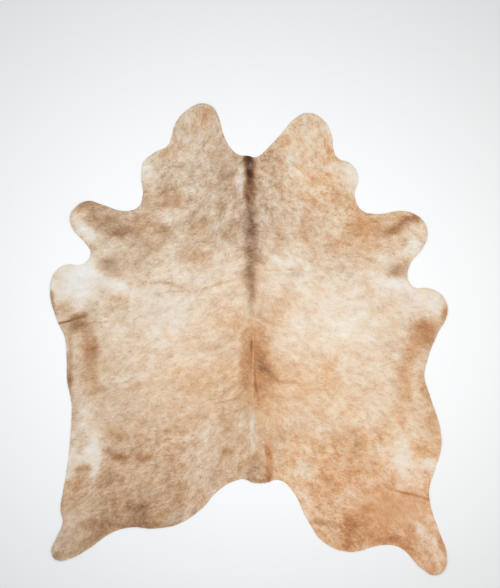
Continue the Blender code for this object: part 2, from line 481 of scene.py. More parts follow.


# %% [markdown]
# ## Patches
#
# On the ground shade lie the marks of this animal: the dark line down the neck,
# the warm back, white on the belly lobes, dark bars on the shanks. Some rows are painted
# light and shade of the relief instead: a thin pale highlight on the ridge's top, and painted
# shade beside it, in the creases, at the lifted left belly lobe and along the thighs' rim.
# They could be drawn on a picture, but a row of numbers is easier to move: each mark is a
# soft ellipse, turned by some degrees where its row ends with them. Waves in the place
# where it is looked up give it the ragged edge that real hair has.

# %% Patches
PATCHES = {  # place and half sizes in squares; hundredths of shade, warmth, strength; degrees
    "broad shades": (
        (14, -36, 13, 24, 78, 60, 75), (27, -27, 6, 12, 46, 80, 50), (-58, -38, 26, 18, 50, 70, 45),
        (62, -42, 24, 18, 52, 95, 50), (-98, 106, 14, 20, 62, 20, 50), (85, 16, 38, 24, 9, 60, 50),
        (-90, 28, 28, 16, 2, -80, 50), (70, 211, 21, 19, 8, 90, 75), (-74, 203, 9, 13, 12, 20, 60),
        (-40, 176, 10, 24, 18, 20, 50), (-46, 148, 7, 4, 58, 10, 50), (156, -124, 22, 20, 8, 160, 60),
        (-156, -110, 19, 16, 10, 10, 50), (116, 106, 20, 12, 68, 80, 55), (18, 60, 16, 12, 6, 20, 55),
        (-43, -88, 12, 32, 20, 30, 50), (124, -57, 17, 20, 14, 50, 50),
        (180, -176, 13, 22, 22, 170, 60, 10), (-30, 106, 14, 22, 20, -10, 50),
        (-37, 55, 24, 15, 7, 30, 55), (50, 22, 11, 22, 6, 30, 50), (42, -8, 17, 13, 10, 40, 60),
        (-40, -4, 22, 12, 16, 20, 50), (69, 96, 15, 12, 12, 10, 55), (-115, 42, 28, 34, 32, 15, 45),
        (153, -173, 16, 13, 33, 150, 60), (70, -180, 16, 17, 36, 90, 60), (-180, -128, 11, 14, 4, 10, 75),
        (-48, -125, 13, 12, 15, 20, 60),
    ),
    "dorsal line": (
        (3, 183, 12, 7, 66, 30, 80), (19, 170, 13, 18, 47, 20, 60), (1, 115, 10, 26, 53, -60, 55),
        (2, 72, 9.5, 25, 56, 10, 65), (-8, 160, 3.2, 22, 16, -20, 75), (9, 160, 6, 20, 48, 10, 45),
        (0.4, 172, 4.6, 20, 95, 40, 100), (1, 182, 4.4, 7, 100, 30, 100),
        (0.8, 145, 4, 16, 96, 40, 90, -4), (2.4, 113, 6.6, 17, 76, -80, 75),
        (2.4, 124, 2.6, 11, 88, -30, 60), (0, 103, 2.8, 9, 92, -30, 55), (2.4, 85, 5.4, 10, 83, -10, 75),
        (2, 98, 6, 7, 64, -40, 50), (1.8, 68, 5, 11, 82, -10, 75), (13, 65, 6, 9, 52, 40, 60),
        (1.8, 56, 4.2, 8, 77, 10, 70), (1.8, 42, 3, 11, 78, 0, 75), (2.4, 28, 2.6, 9, 64, 20, 50),
    ),
    "left neck": (
        (-23, 188, 8, 15, 50, 20, 55, 30), (-25, 163, 8, 3.4, 76, 0, 70, 40), (-11, 139, 4, 5, 58, 0, 45),
        (-48, 219, 11, 10, 50, 90, 50, 20), (-56, 192, 15, 15, 26, 60, 50), (-80, 186, 9, 7, 50, 95, 70),
        (-102, 166, 8, 13, 4, 20, 85), (-66, 155, 19, 9, 13, 10, 62), (-98, 138, 9, 13, 50, 50, 50),
        (-83, 149, 6, 8, 64, 30, 60), (-71, 138, 8, 6, 62, 40, 60), (-20, 158, 8, 16, 56, 0, 50),
        (-34, 172, 6, 5, 60, 0, 50), (-20, 146, 5, 4, 66, 10, 50), (-40, 152, 4, 4, 58, 20, 45),
    ),
    "left shoulder": (
        (-78, 122, 9, 6, 8, 10, 65), (-82, 107, 8, 5, 68, 20, 70), (-48, 116, 9, 7, 58, 20, 65, -30),
        (-57, 108, 8, 4, 62, 30, 55), (-27, 131, 5, 8, 66, 30, 65), (-22, 104, 7, 4.6, 54, 10, 55),
        (-35, 112, 5, 14, 16, 10, 50), (-65, 105, 6, 7, 14, 10, 55), (-56, 87, 9, 9, 64, 30, 60),
        (-20, 75, 15, 7.5, 8, 0, 50), (-104, 112, 7, 12, 62, 30, 60), (-99, 104, 5, 4, 22, 10, 50),
    ),
    "left fore shank": (
        (-147, 122, 22, 7, 55, 30, 65, -36), (-160, 135, 9, 5, 82, 20, 75),
        (-128, 110, 14, 6.5, 78, 10, 80, -15), (-170, 126, 6, 4, 46, 40, 50),
        (-163, 108, 19, 7, 4, 0, 90, -46), (-141, 88, 14, 9, 23, -30, 65), (-145, 94, 5, 4, 52, 20, 50),
        (-154, 78, 4, 12, 30, 40, 50), (-140, 75, 10, 6, 74, -100, 80, -8), (-138, 63, 6, 4, 58, 10, 55),
    ),
    "left belly lobe": (
        # painted shade: the next line's second row darkens the lifted left edge of the lobe
        (-176, 58, 25, 21, 4, -30, 100), (-190, 58, 7, 13, 20, 20, 55), (-134, 54, 20, 6, 2, 0, 85, -24),
        (-161, 68, 9, 9, 0, 0, 90), (-130, 37, 14, 7.5, 52, 50, 65), (-118, 67, 16, 9, 48, 20, 55),
        (-187, 27, 13, 8, 40, 10, 90, -35), (-197, 38, 3, 13, 72, 20, 90, 6),
    ),
    "left flank": (
        (-170, 22, 8, 3.4, 94, 40, 85, 10), (-168.5, 13.5, 9.5, 3.8, 100, 40, 90),
        (-165, 9, 13, 8, 70, 30, 70), (-161, -4, 8, 12, 70, 60, 75), (-157, -10, 6, 8, 84, 50, 70),
        (-158, -32, 7, 15, 65, 30, 75), (-156, -50, 6, 10, 58, 40, 50), (-178, -22, 3.4, 28, 66, 10, 75),
        (-178, -42, 3.4, 7, 84, 20, 75), (-171, -27, 3.2, 27, 28, 20, 60), (-74, 66, 26, 11, 5, 40, 50),
        (-50, 20, 12, 8, 26, 40, 40), (-42, -7, 6, 4, 46, 30, 50), (-80, -12, 7, 4, 44, 40, 50),
    ),
    "left hip": (
        (-166, -68, 8, 18, 16, -20, 65), (-155, -114, 7, 21, 2, 10, 95), (-171, -119, 14, 7.5, 12, 10, 80),
        (-174, -92, 6, 14, 30, 10, 50), (-132, -95, 11, 6, 60, 40, 60), (-138, -112, 5, 3.2, 84, 30, 75),
        (-128, -118, 7, 3.8, 86, 50, 80), (-103, -118, 9, 3.4, 74, 70, 75),
        (-128, -108, 21, 5, 16, 10, 55), (-165, -131, 7, 4, 66, 40, 70), (-174, -149, 11, 10, 60, 60, 60),
        (-141, -140, 5, 8, 66, 20, 55),
    ),
    "left thigh": (
        # painted shade: the next line's second row darkens the hind shank along its lower rim
        (-109, -172, 12, 8, 84, 30, 75), (-118, -187, 36, 6.5, 83, 20, 85),
        (-140, -184, 16, 9, 77, 30, 70, 12), (-130, -160, 18, 11, 60, 40, 60),
        (-82, -158, 9, 9, 58, 30, 50), (-158, -163, 11, 12, 28, 40, 45), (-76, -152, 11, 18, 60, 20, 65),
        (-99, -152, 9, 6, 36, 0, 40), (-66, -178, 16, 8, 28, -50, 60, 24), (-44, -146, 14, 11, 34, 20, 55),
        (-172, -170, 7, 17, 38, 20, 60, -15), (-187, -169, 4.4, 20, 66, 30, 65, 5),
        (-33, -135, 5, 5, 62, 20, 55), (-22, -113, 7, 6, 70, 20, 70), (-38, -102, 7, 11, 22, 10, 40),
    ),
    "left hind shank": (
        (-162, -204, 18, 7, 74, 0, 65, 28), (-192, -217, 5, 4, 76, 20, 70),
        (-188, -197, 12, 11, 30, -60, 65), (-176, -192, 9, 12, 40, 10, 50, -25),
        (-180, -208, 8, 5, 58, 30, 50, 20),
    ),
    "right neck": (
        (60, 219, 12, 7, 38, 60, 50), (35, 184, 13, 9, 16, 40, 50), (75, 185, 9, 12, 46, 150, 65),
        (84, 171, 14, 4, 10, 90, 75), (104, 163, 12, 18, 0, 80, 90), (84, 150, 9, 11, 38, 95, 55),
        (65, 159, 5, 6, 48, 95, 50), (74, 137, 6, 7, 42, 85, 60), (100, 132, 6, 9, 38, 90, 50),
        (24, 192, 5, 15, 48, 40, 50, -50), (14, 172, 4, 3, 62, 20, 50), (29, 126, 7.5, 17, 53, 10, 58),
        (30, 104, 5, 12, 60, 40, 65), (55, 111, 3.6, 14, 60, 60, 65), (17, 125, 6, 34, 24, 30, 30),
        (46, 128, 7, 18, 24, 10, 40),
    ),
    "right fore shank": (
        (115, 113, 10, 7.5, 71, 90, 72), (92, 98, 11, 9, 62, 70, 60), (112, 62, 24, 9, 12, 10, 50),
        (139, 78, 9, 12, 8, 20, 65), (167, 107, 11, 12, 19, 30, 70), (144, 110, 21, 3.6, 74, 40, 75, 28),
        (138, 108, 9, 3.4, 84, 60, 60, 15), (162, 121, 10, 4.4, 84, 40, 85, 18),
        (160, 86, 13, 8, 8, 30, 90, 55), (152, 97, 6, 5, 60, 40, 70), (147, 67, 6, 7, 70, 20, 75, -15),
        (157, 74, 3.4, 8, 50, 50, 60, -10), (41, 65, 16, 13, 8, 10, 55),
    ),
    "right belly lobe": (
        (145, 54, 16, 5.5, 2, 30, 85), (170, 36, 22, 12, 7, 20, 75), (184, 37, 9, 8, 4, 10, 70),
        (134, 31, 10, 8, 34, 60, 50), (196, 25, 4, 8, 74, 80, 90, -15),
    ),
    "right flank": (
        (176, 9, 13, 12, 65, 85, 90), (174, 14, 4, 4, 86, 80, 50), (181, -2, 5, 4, 86, 80, 60),
        (163, -11, 7.4, 11, 64, 85, 80, -20), (156, -31, 7, 12, 58, 85, 70), (155, -52, 6, 12, 54, 80, 55),
        (174, -18, 4.4, 11, 32, 30, 65, -22), (168, -50, 4, 13, 22, 50, 50),
        (180, -58, 6, 20, 62, 40, 70, 18), (84, 8, 15, 14, 6, 50, 40), (84, -27, 6, 5, 48, 85, 50),
        (70, -84, 38, 9, 20, 40, 55), (70, -47, 26, 5, 42, 80, 45, -6),
    ),
    "right hip": (
        (166, -84, 9, 14, 14, 70, 55), (153, -118, 8, 18, 0, 40, 75), (127, -111, 8, 6, 18, 40, 55),
        (172, -95, 10, 10, 22, 80, 70), (176, -111, 13, 8, 42, 150, 80), (184, -88, 7, 24, 48, 50, 50),
        (176, -126, 14, 6, 8, 100, 80), (157, -141, 16, 11, 12, 150, 70, -50),
        (179, -143, 8, 11, 24, 170, 75), (100, -99, 10, 11, 46, 20, 50), (101, -117, 10, 6, 60, 80, 55),
        (110, -108, 6, 10, 60, 50, 55), (80, -147, 11, 15, 56, 130, 55), (96, -132, 18, 7, 60, 120, 55),
        (130, -118, 14, 11, 18, 130, 60), (131, -88, 7, 13, 50, 80, 50), (56, -132, 9, 14, 20, 20, 50),
        (27, -110, 10, 15, 42, 30, 50),
    ),
    "right thigh": (
        (135, -170, 32, 17, 47, 150, 60, -10), (100, -158, 13, 6, 30, 180, 50),
        (116, -170, 9, 6, 66, 130, 65, 30), (122, -188, 14, 12, 59, 160, 60),
        # painted shade: the next line's last row and the first row on the line after it darken the thigh
        # along its rim
        (99, -188, 8, 12, 76, 150, 85), (99, -204, 9, 5, 84, 85, 80), (140, -200, 12, 5, 90, 90, 80, -10),
        (120, -202, 13, 5, 78, 120, 65), (74, -184, 15, 2.6, 70, 20, 60, -8),
        (108, -190, 8, 9, 80, 90, 60), (84, -196, 9, 7, 26, 50, 50),
    ),
    "right hind shank": (
        (167, -186, 9, 4, 16, 60, 60, -20), (181, -201, 19, 4.2, 12, 160, 80, -56),
        (157, -209, 15, 5.5, 78, 90, 70, -40), (190, -216, 8, 10, 14, 190, 60),
        (183, -227, 9, 4.4, 48, 160, 60), (194, -202, 3.4, 14, 54, 95, 60, 12),
    ),
    "back": (
        (3, 21, 16, 13, 38, 10, 50), (4, -24, 9.5, 34, 65, 80, 80), (-4, -22, 4.4, 22, 76, 70, 65),
        (13, 9, 3, 7, 60, 85, 65), (5, -61, 6, 9, 60, 60, 65), (-4, -85, 9, 24, 38, 20, 50),
        # painted shade: the next line's last row and the three rows after it darken the crease beside the
        # ridge
        (3.2, -92, 3.4, 18, 16, -40, 75), (11, -21, 4.2, 8, 78, 50, 80, 10),
        (14, -29, 4, 6, 88, 40, 85, 35), (24, -40, 10, 1.8, 72, 40, 75, -30),
        (40, -44, 15, 1.6, 70, 50, 65),
    ),
    "tail": (
        (19, -122, 3.2, 20, 68, 100, 80), (19, -110, 3.2, 5, 84, 100, 60),
        (19.5, -137, 3.2, 6, 88, 90, 70), (0, -128, 14, 10, 58, 30, 50), (5, -127, 8, 13, 72, 20, 65),
        (2, -140, 5, 2.2, 84, 40, 75), (13, -141, 6, 1.8, 86, 40, 75),
    ),
    # painted light of the relief: a pale highlight along the top of the back's ridge, and painted shade in
    # dark lines beside it, in the flank and hock creases and along the fine wrinkles
    "painted ridge and crease light": (
        (3.4, -24, 0.9, 28, 26, 90, 60), (2.2, -6, 0.9, 9, 98, 80, 85), (2.2, -24, 0.8, 14, 92, 100, 70),
        (4.8, -26, 0.9, 26, 88, 100, 60), (6.5, -49, 1, 10, 92, 90, 75, 8),
        (-181, 18, 11, 1.1, 100, 30, 85, 15), (-150, 17, 14, 0.9, 66, 40, 60, 2),
        (162, -155, 20, 1.2, 82, 80, 75, -15), (-24, -62, 12, 0.9, 80, 0, 40, 12),
        (-8, -54.5, 7, 0.9, 82, 0, 45, 42), (-18, -73.5, 15, 0.9, 78, 0, 35, 20),
        (-96, 57, 14, 2.2, 54, 30, 45, 2), (-74, 54, 10, 1.8, 54, 40, 45, -18),
        (-30, 55, 20, 1.7, 54, 40, 45, 18), (-38, 36, 13, 1.4, 52, 40, 45, -17),
        (-70, 48, 22, 0.8, 42, 40, 40, 4), (40, 70, 20, 0.9, 42, 60, 40, 3),
    ),
}
print("marks:", sum(len(marks) for marks in PATCHES.values()))

# %% [markdown]
# ## The way the hair lies
#
# Hair leans away from the back line and towards the tail, and turns to run down each
# shank. It could be combed by hand, but a few arrows on one half of the skin say as much.
# Between them the direction is their average, and the other half mirrors it.

# %% Lie of the hair: place in squares, direction to the side and towards the neck
LIE_REACH = 0.22
LIE_FALL = 3.0  # how fast an arrow's say fades
BACK_HALF = 0.03  # nearer the back line than this, the hair turns over to the other side
LIE_WAVES = ((0.25, 0.09, 31), (0.2, 0.025, 32))  # size in radians, length in metres, seed
WAVE_SIDE = 97  # random heights along each side of a table of waves
WAVE_START = 500.0  # where the hide's middle lies on that table, in lengths
LIE = (
    (4, 150, 0.6, -0.8), (4, 60, 0.85, -0.5), (4, -30, 0.88, -0.48), (4, -110, 0.7, -0.7),
    (45, 200, 0.45, -0.9), (60, 222, 0.3, -0.95), (90, 150, 0.8, -0.6),
    (130, 115, 0.98, -0.15), (168, 108, 0.95, -0.3), (60, 60, 0.9, -0.42),
    (110, 50, 0.95, -0.3), (175, 35, 0.95, -0.3), (70, -20, 0.95, -0.32),
    (150, -20, 0.94, -0.34), (80, -90, 0.92, -0.4), (160, -90, 0.93, -0.38),
    (30, -110, 0.7, -0.7), (90, -160, 0.8, -0.6), (150, -180, 0.75, -0.66),
    (185, -220, 0.5, -0.86),
)


def waves(x, y, length, seed):
    """Smooth random waves between -1 and 1."""
    table = np.random.default_rng(seed).uniform(-1.0, 1.0, (WAVE_SIDE, WAVE_SIDE))
    u, v = x / length + WAVE_START, y / length + WAVE_START
    column, line = np.floor(u).astype(int), np.floor(v).astype(int)
    u, v = u - column, v - line
    u, v = u * u * (3 - 2 * u), v * v * (3 - 2 * v)
    left, right = column % WAVE_SIDE, (column + 1) % WAVE_SIDE
    low, high = line % WAVE_SIDE, (line + 1) % WAVE_SIDE
    near = table[low, left] * (1 - u) + table[low, right] * u
    far = table[high, left] * (1 - u) + table[high, right] * u
    return near * (1 - v) + far * v


def lie_of_hair(x, y):
    """Direction of the hair, as unit steps to the right and towards the neck."""
    side = np.clip(x / BACK_HALF, -1.0, 1.0)
    step_x, step_y = np.zeros(x.shape), np.zeros(x.shape)
    for right, up, to_side, to_neck in LIE:
        apart = (abs(x) - right * SQUARE) ** 2 + (y - up * SQUARE) ** 2
        weight = np.exp(-apart * LIE_FALL / LIE_REACH ** 2) + FAINT
        step_x += weight * to_side
        step_y += weight * to_neck
    angle = np.arctan2(step_y, step_x * side)
    angle += sum(size * waves(x, y, length, seed) for size, length, seed in LIE_WAVES)
    return np.cos(angle), np.sin(angle)


rib_x, rib_y = lie_of_hair(np.full(1, 0.4), np.zeros(1))
print("hair on the right ribs points", rib_x.round(2), "to the right and", rib_y.round(2), "up")


# %% [markdown]
# ## Reading the coat
#
# Every place on the skin asks three things in turn: the ground shade there, the marks that
# cover it, and the brindle, which is waves of a few sizes drawn out along the hair. Soft
# ellipses say where the brindle is calm and where fine wrinkles get painted shade.

# %% Waves, brindle and painted wrinkle shade
EDGE_WAVES = ((9.0, 2.0, 11, 111), (2.5, 0.8, 12, 112))  # length and size in squares, seeds
SHADE_WAVES = (  # length in squares, size in shade, seed
    (2.5, 0.11, 21), (5.0, 0.11, 22), (10.0, 0.09, 23), (26.0, 0.07, 24),
)
DRAWN_OUT = (-0.6, 0.0, 0.6)  # wave lengths along the lie of the hair
DRAWN_SHARE = 0.45  # size of each of the drawn-out waves
WARMTH_WAVE = (16.0, 0.15, 26)
WARMTH_LIMITS = (-1.0, 2.0)
STEADY = {"painted ridge and crease light": 0.15, "dorsal line": 0.4, "tail": 0.4}  # share of the waves
MARK_REACH = 2.0  # a mark ends at this many of its longer half
MARK_FADE = (0.6, 1.5)  # how fast a mark fades, and how flat its middle is
SHADE_STOPS = (0.0, 0.12, 0.3, 0.6, 0.8, 1.0)
BRINDLE = (0.15, 0.6, 1.0, 0.75, 0.6, 0.5)  # waves: few in white hair, most in tan
LOCK_MIX = (0.15, 0.6, 1.0, 0.8, 0.6, 0.12)  # the darkest hair has hardly a pale lock in it
CALM_MIDDLE = -10.0
CALM_BAND = (60.0, 140.0)  # squares from the calm middle
LIVELINESS = (0.72, 1.0)  # within the first of them and past the second
CALM_PLACES = (  # place, half width and half length in squares, share of the liveliness lost
    (142, -170, 36, 20, 0.5), (-176, -182, 16, 26, 0.3), (-150, 66, 30, 16, 0.4),
)
WRINKLE_SHADES = (  # place, half width and half length in squares, depth of the painted wrinkle shade
    (2, 92, 9, 36, 1.1), (14, 158, 24, 36, 1.2), (-58, 150, 34, 34, 0.7), (-85, 62, 60, 14, 0.6),
    (-26, -62, 22, 24, 0.6), (-85, -108, 42, 28, 0.8), (95, -115, 44, 22, 0.5),
    (-120, -172, 30, 16, 0.7), (104, -190, 22, 14, 0.6), (70, 62, 60, 10, 0.45),
)


def apart_from(x, y, right, up, half_wide, half_long):
    """Squared distance from an ellipse's middle: 0 there and 1 at its edge."""
    return ((x / SQUARE - right) / half_wide) ** 2 + ((y / SQUARE - up) / half_long) ** 2


def liveliness(x, y):
    """The coat is calm in the middle and livelier towards the neck and the hind legs."""
    lively = np.interp(abs(y / SQUARE - CALM_MIDDLE), CALM_BAND, LIVELINESS)
    for *ellipse, lost in CALM_PLACES:
        apart = apart_from(x, y, *ellipse)
        lively = lively * (1.0 - lost * np.exp(-apart * apart))
    return lively


def hair_mix(shade, x, y):
    """How strongly single locks differ from the coat around them."""
    return np.interp(shade, SHADE_STOPS, LOCK_MIX) * liveliness(x, y)


def wrinkle_shade(x, y):
    """How dark the painted shade of fine wrinkles is, most at the middle of each place."""
    depth = np.zeros(x.shape)
    for *ellipse, its_depth in WRINKLE_SHADES:
        depth = np.maximum(depth, its_depth * np.exp(-apart_from(x, y, *ellipse)))
    return depth


print("liveliness at the middle:", liveliness(np.zeros(1), np.zeros(1)).round(2))


# %% Read the coat at any place
def shade_and_warmth(x, y):
    """The coat's shade and warmth at every place, patches included."""
    shade, warmth = ground(x, y)
    sway_x, sway_y = np.zeros(x.shape), np.zeros(x.shape)
    for length, size, seed_x, seed_y in EDGE_WAVES:
        sway_x += size * waves(x, y, length * SQUARE, seed_x)
        sway_y += size * waves(x, y, length * SQUARE, seed_y)
    for group, marks in PATCHES.items():
        share = STEADY.get(group, 1.0)
        px, py = x / SQUARE + share * sway_x, y / SQUARE + share * sway_y
        for right, up, half_wide, half_long, its_shade, its_warmth, strength, *turn in marks:
            far = MARK_REACH * max(half_wide, half_long)
            close = np.nonzero((abs(px - right) < far) & (abs(py - up) < far))[0]
            angle = math.radians(turn[0] if turn else 0)
            cos, sin = math.cos(angle), math.sin(angle)
            dx, dy = px[close] - right, py[close] - up
            apart = ((dx * cos + dy * sin) / half_wide) ** 2
            apart += ((dy * cos - dx * sin) / half_long) ** 2
            weight = strength / 100 * np.exp(-MARK_FADE[0] * apart ** MARK_FADE[1])
            shade[close] += (its_shade / 100 - shade[close]) * weight
            warmth[close] += (its_warmth / 100 - warmth[close]) * weight
    mixed = np.interp(shade, SHADE_STOPS, BRINDLE) * liveliness(x, y)
    right, up = lie_of_hair(x, y)
    for length, size, seed in SHADE_WAVES:
        for steps in DRAWN_OUT:
            reach = steps * length * SQUARE
            swell = waves(x + reach * right, y + reach * up, length * SQUARE, seed)
            shade += mixed * size * DRAWN_SHARE * swell
    length, size, seed = WARMTH_WAVE
    warmth += size * waves(x, y, length * SQUARE, seed)
    return np.clip(shade, 0.0, 1.0), np.clip(warmth, *WARMTH_LIMITS)


middle_shade, middle_warmth = shade_and_warmth(np.zeros(1), np.zeros(1))
print("middle of the back: shade", middle_shade.round(2), "warmth", middle_warmth.round(2))

# %% [markdown]
# ## Shader maths as Python
#
# A material is a net of small nodes. This helper wraps one socket, so that a sum or a
# product of two values is written as plain Python and adds its Math node. Any other
# node comes from one method, which takes its settings first and then its inputs.

# %% Shader helper
class Socket:
    """One output in a material's node net."""

    def __init__(self, tree, socket=None):
        self.tree = tree
        self.socket = socket

    def node(self, kind, settings=None, inputs=None, output=0):
        """A node of any kind: its settings, then values or links for its sockets."""
        made = self.tree.nodes.new(kind)
        for name, value in (settings or {}).items():
            setattr(made, name, value)
        for name, value in (inputs or {}).items():
            if isinstance(value, Socket):
                self.tree.links.new(value.socket, made.inputs[name])
            else:
                made.inputs[name].default_value = value
        return Socket(self.tree, made.outputs[output])

    def math(self, operation, other=0.0, clamp=False):
        settings = {"operation": operation, "use_clamp": clamp}
        return self.node("ShaderNodeMath", settings, {0: self, 1: other})

    def __add__(self, other):
        return self.math("ADD", other)

    __radd__ = __add__

    def __mul__(self, other):
        return self.math("MULTIPLY", other)

    def __sub__(self, other):
        return self.math("SUBTRACT", other)

    def __rsub__(self, other):
        return self.node("ShaderNodeMath", {"operation": "SUBTRACT"}, {0: other, 1: self})

    def clamped(self):
        return self.math("ADD", 0.0, clamp=True)

    def mixed(self, other, share, blend="MIX"):
        """This colour with a share of another one."""
        settings = {"data_type": "RGBA", "blend_type": blend}
        return self.node("ShaderNodeMix", settings, {0: share, 6: self, 7: other}, output=2)


def new_material(name):
    """An empty Principled material, its net and its shader."""
    material = bpy.data.materials.new(name)
    material.use_nodes = True
    tree = material.node_tree
    return material, Socket(tree), tree.nodes["Principled BSDF"]


def connect(shader, name, value):
    value.tree.links.new(value.socket, shader.inputs[name])


def noise(net, place, size, detail=2.0, roughness=0.5):
    """Soft noise between 0 and 1 whose marks are about size metres wide."""
    inputs = {"Vector": place, "Scale": 1.0 / size, "Detail": detail, "Roughness": roughness}
    return net.node("ShaderNodeTexNoise", None, inputs)


def attribute(net, name, output):
    """A value that the mesh stores at each of its corners."""
    return net.node("ShaderNodeAttribute", {"attribute_name": name}, None, output)


def bumps(net, strength, height, shape):
    """A surface roughened by this shape, height metres from low to high."""
    inputs = {"Strength": strength, "Distance": height, "Height": shape}
    return net.node("ShaderNodeBump", None, inputs)


# %% [markdown]
# ## Coat material
#
# Skin and hair locks share this finish. The slow colour comes from the mesh as an
# attribute, and the brindle, the fine mixing of dark and pale hairs, is noise. It is
# read at the root of each lock, so one lock has one tone, and its length draws the tone
# out along the lie of the hair, as on a real coat. The noise could be stretched in
# the shader instead, but it would not turn with the hair. The painted shade of fine
# wrinkles does cross the hair, so its dark wavy lines are noise stretched from side to side.

# %% Coat material
BRINDLE_FINE = 0.008
BRINDLE_WIDE = 0.034
FINE_SHARE = 2.5
WIDE_SHARE = 1.4
LOCK_SHARE = 1.1  # what each lock adds to the tone by itself
DARK_TINT = (0.62, 0.53, 0.45, 1.0)
DARK_SHARE = 0.6  # of the dark tint in a slightly dark lock
DARK_GAIN = 1.3  # what it gains towards the darkest
PALE_HAIR = (*to_linear((246, 234, 216)), 1.0)
PALE_SHARE = 0.66
COAT_ROUGHNESS = 0.62
ROUGHNESS_SPREAD = 0.16
COAT_GLOSS = {"Specular IOR Level": 0.12, "Sheen Weight": 0.03, "Sheen Roughness": 0.5}
GRAIN_SIZE = 0.0022
GRAIN_HEIGHT = 0.0012
GRAIN_STRENGTH = 0.35
GRAIN_FROM_FINE = 0.6
# painted shade of fine wrinkles: dark wavy lines that cross the hair
WRINKLE_LINE_LENGTH = 0.020
WRINKLE_LINE_STRETCH = (0.3, 1.0, 0.0)
WRINKLE_LINE_SHARPNESS = 12.0
WRINKLE_LINE_GAPS = 0.42  # a painted wrinkle line breaks off where the wide noise is below this
WRINKLE_LINE_ENDS = 5.0  # how sharply it does


def coat_material(name, bump):
    """Brindled hair, with fine grain in its surface if bump is asked for."""
    material, net, shader = new_material(name)
    root = attribute(net, "root", "Vector")
    coat = attribute(net, "coat", "Color")
    lock = attribute(net, "lock", "Fac")
    brindle = attribute(net, "brindle", "Fac")
    fine = noise(net, root, BRINDLE_FINE)
    wide = noise(net, root, BRINDLE_WIDE, detail=3.0, roughness=0.6)
    tone = (fine - 0.5) * FINE_SHARE + (wide - 0.5) * WIDE_SHARE + (lock - 0.5) * LOCK_SHARE
    tone = tone * brindle
    darker = coat.mixed(DARK_TINT, 1.0, "MULTIPLY")
    dark = tone.clamped()
    colour = coat.mixed(darker, (dark * (dark * DARK_GAIN + DARK_SHARE)).clamped())
    colour = colour.mixed(PALE_HAIR, (tone * -PALE_SHARE).clamped())
    # painted shade: dark wavy lines where fine wrinkles cross the hair
    place = net.node("ShaderNodeTexCoord", output="Object")
    stretched = net.node(
        "ShaderNodeVectorMath", {"operation": "MULTIPLY"}, {0: place, 1: WRINKLE_LINE_STRETCH},
    )
    wave = (noise(net, stretched, WRINKLE_LINE_LENGTH, detail=3.0) - 0.5).math("ABSOLUTE")
    line = (1.0 - wave * WRINKLE_LINE_SHARPNESS).clamped()
    broken = ((noise(net, place, BRINDLE_WIDE) - WRINKLE_LINE_GAPS) * WRINKLE_LINE_ENDS).clamped()
    wrinkle_shaded = line * broken * attribute(net, "wrinkle_shade", "Fac")
    colour = colour.mixed(darker, wrinkle_shaded.clamped())
    connect(shader, "Base Color", colour)
    connect(shader, "Roughness", COAT_ROUGHNESS + (fine - 0.5) * ROUGHNESS_SPREAD)
    for input_name, value in COAT_GLOSS.items():
        shader.inputs[input_name].default_value = value
    if bump:
        grain = noise(net, root, GRAIN_SIZE) + fine * GRAIN_FROM_FINE
        connect(shader, "Normal", bumps(net, GRAIN_STRENGTH, GRAIN_HEIGHT, grain))
    return material


# %% [markdown]
# ## Leather materials
#
# Under the hair the skin is pale chrome-tanned leather: soft clouded suede below, and
# cut fibres, a little greyer, around the rim. A picture of suede could be laid on, but
# noise has no seams and stays sharp from close by.

# %% Leather materials
SUEDE = (*to_linear((214, 199, 178)), 1.0)
SUEDE_CLOUD = (*to_linear((188, 168, 143)), 1.0)
CUT_FIBRES = (*to_linear((196, 184, 168)), 1.0)
CUT_SHADOW = (*to_linear((150, 134, 116)), 1.0)
CLOUD_START = 0.42  # cloud noise above this shows the second colour
CLOUD_SHARE = 2.2
NAP_SHARE = 0.8
NAP_STRENGTH = 0.5
LEATHER_ROUGHNESS = 0.82
LEATHER_SPREAD = 0.2  # of the roughness
LEATHER_SHINE = 0.2


def leather_material(name, main, second, cloud_size, nap_size, nap_height):
    """Suede or cut leather: clouded colour and a fine fibrous nap."""
    material, net, shader = new_material(name)
    place = net.node("ShaderNodeTexCoord", output="Object")
    cloud = noise(net, place, cloud_size, detail=4.0, roughness=0.6)
    nap = noise(net, place, nap_size, detail=3.0, roughness=0.7)
    pale = net.node("ShaderNodeRGB")
    pale.socket.default_value = main
    share = (cloud - CLOUD_START) * CLOUD_SHARE + (nap - 0.5) * NAP_SHARE
    connect(shader, "Base Color", pale.mixed(second, share.clamped()))
    connect(shader, "Roughness", LEATHER_ROUGHNESS + (nap - 0.5) * LEATHER_SPREAD)
    connect(shader, "Normal", bumps(net, NAP_STRENGTH, nap_height, nap))
    shader.inputs["Specular IOR Level"].default_value = LEATHER_SHINE
    return material


# %% [markdown]
# ## The skin
#
# The cut sheet becomes a skin with its hair side above, suede below and cut fibres around
# the rim. Both faces could be modelled, but Solidify makes the second from the first, so
# the leather is equally thick everywhere.

# %% The skin
ROOT_LIGHT = 0.9  # painted shade: the skin between the locks is darkened, as it lies under them
MIDDLE_LOCK = 0.5  # the tone of a lock that is neither dark nor pale


def store(mesh, name, kind, values):
    """Write one value for each corner point of the mesh as an attribute."""
    layer = mesh.attributes.new(name, kind, "POINT")
    slot = {"FLOAT": "value", "FLOAT_VECTOR": "vector", "FLOAT_COLOR": "color"}[kind]
    layer.data.foreach_set(slot, np.asarray(values, np.float32).ravel())


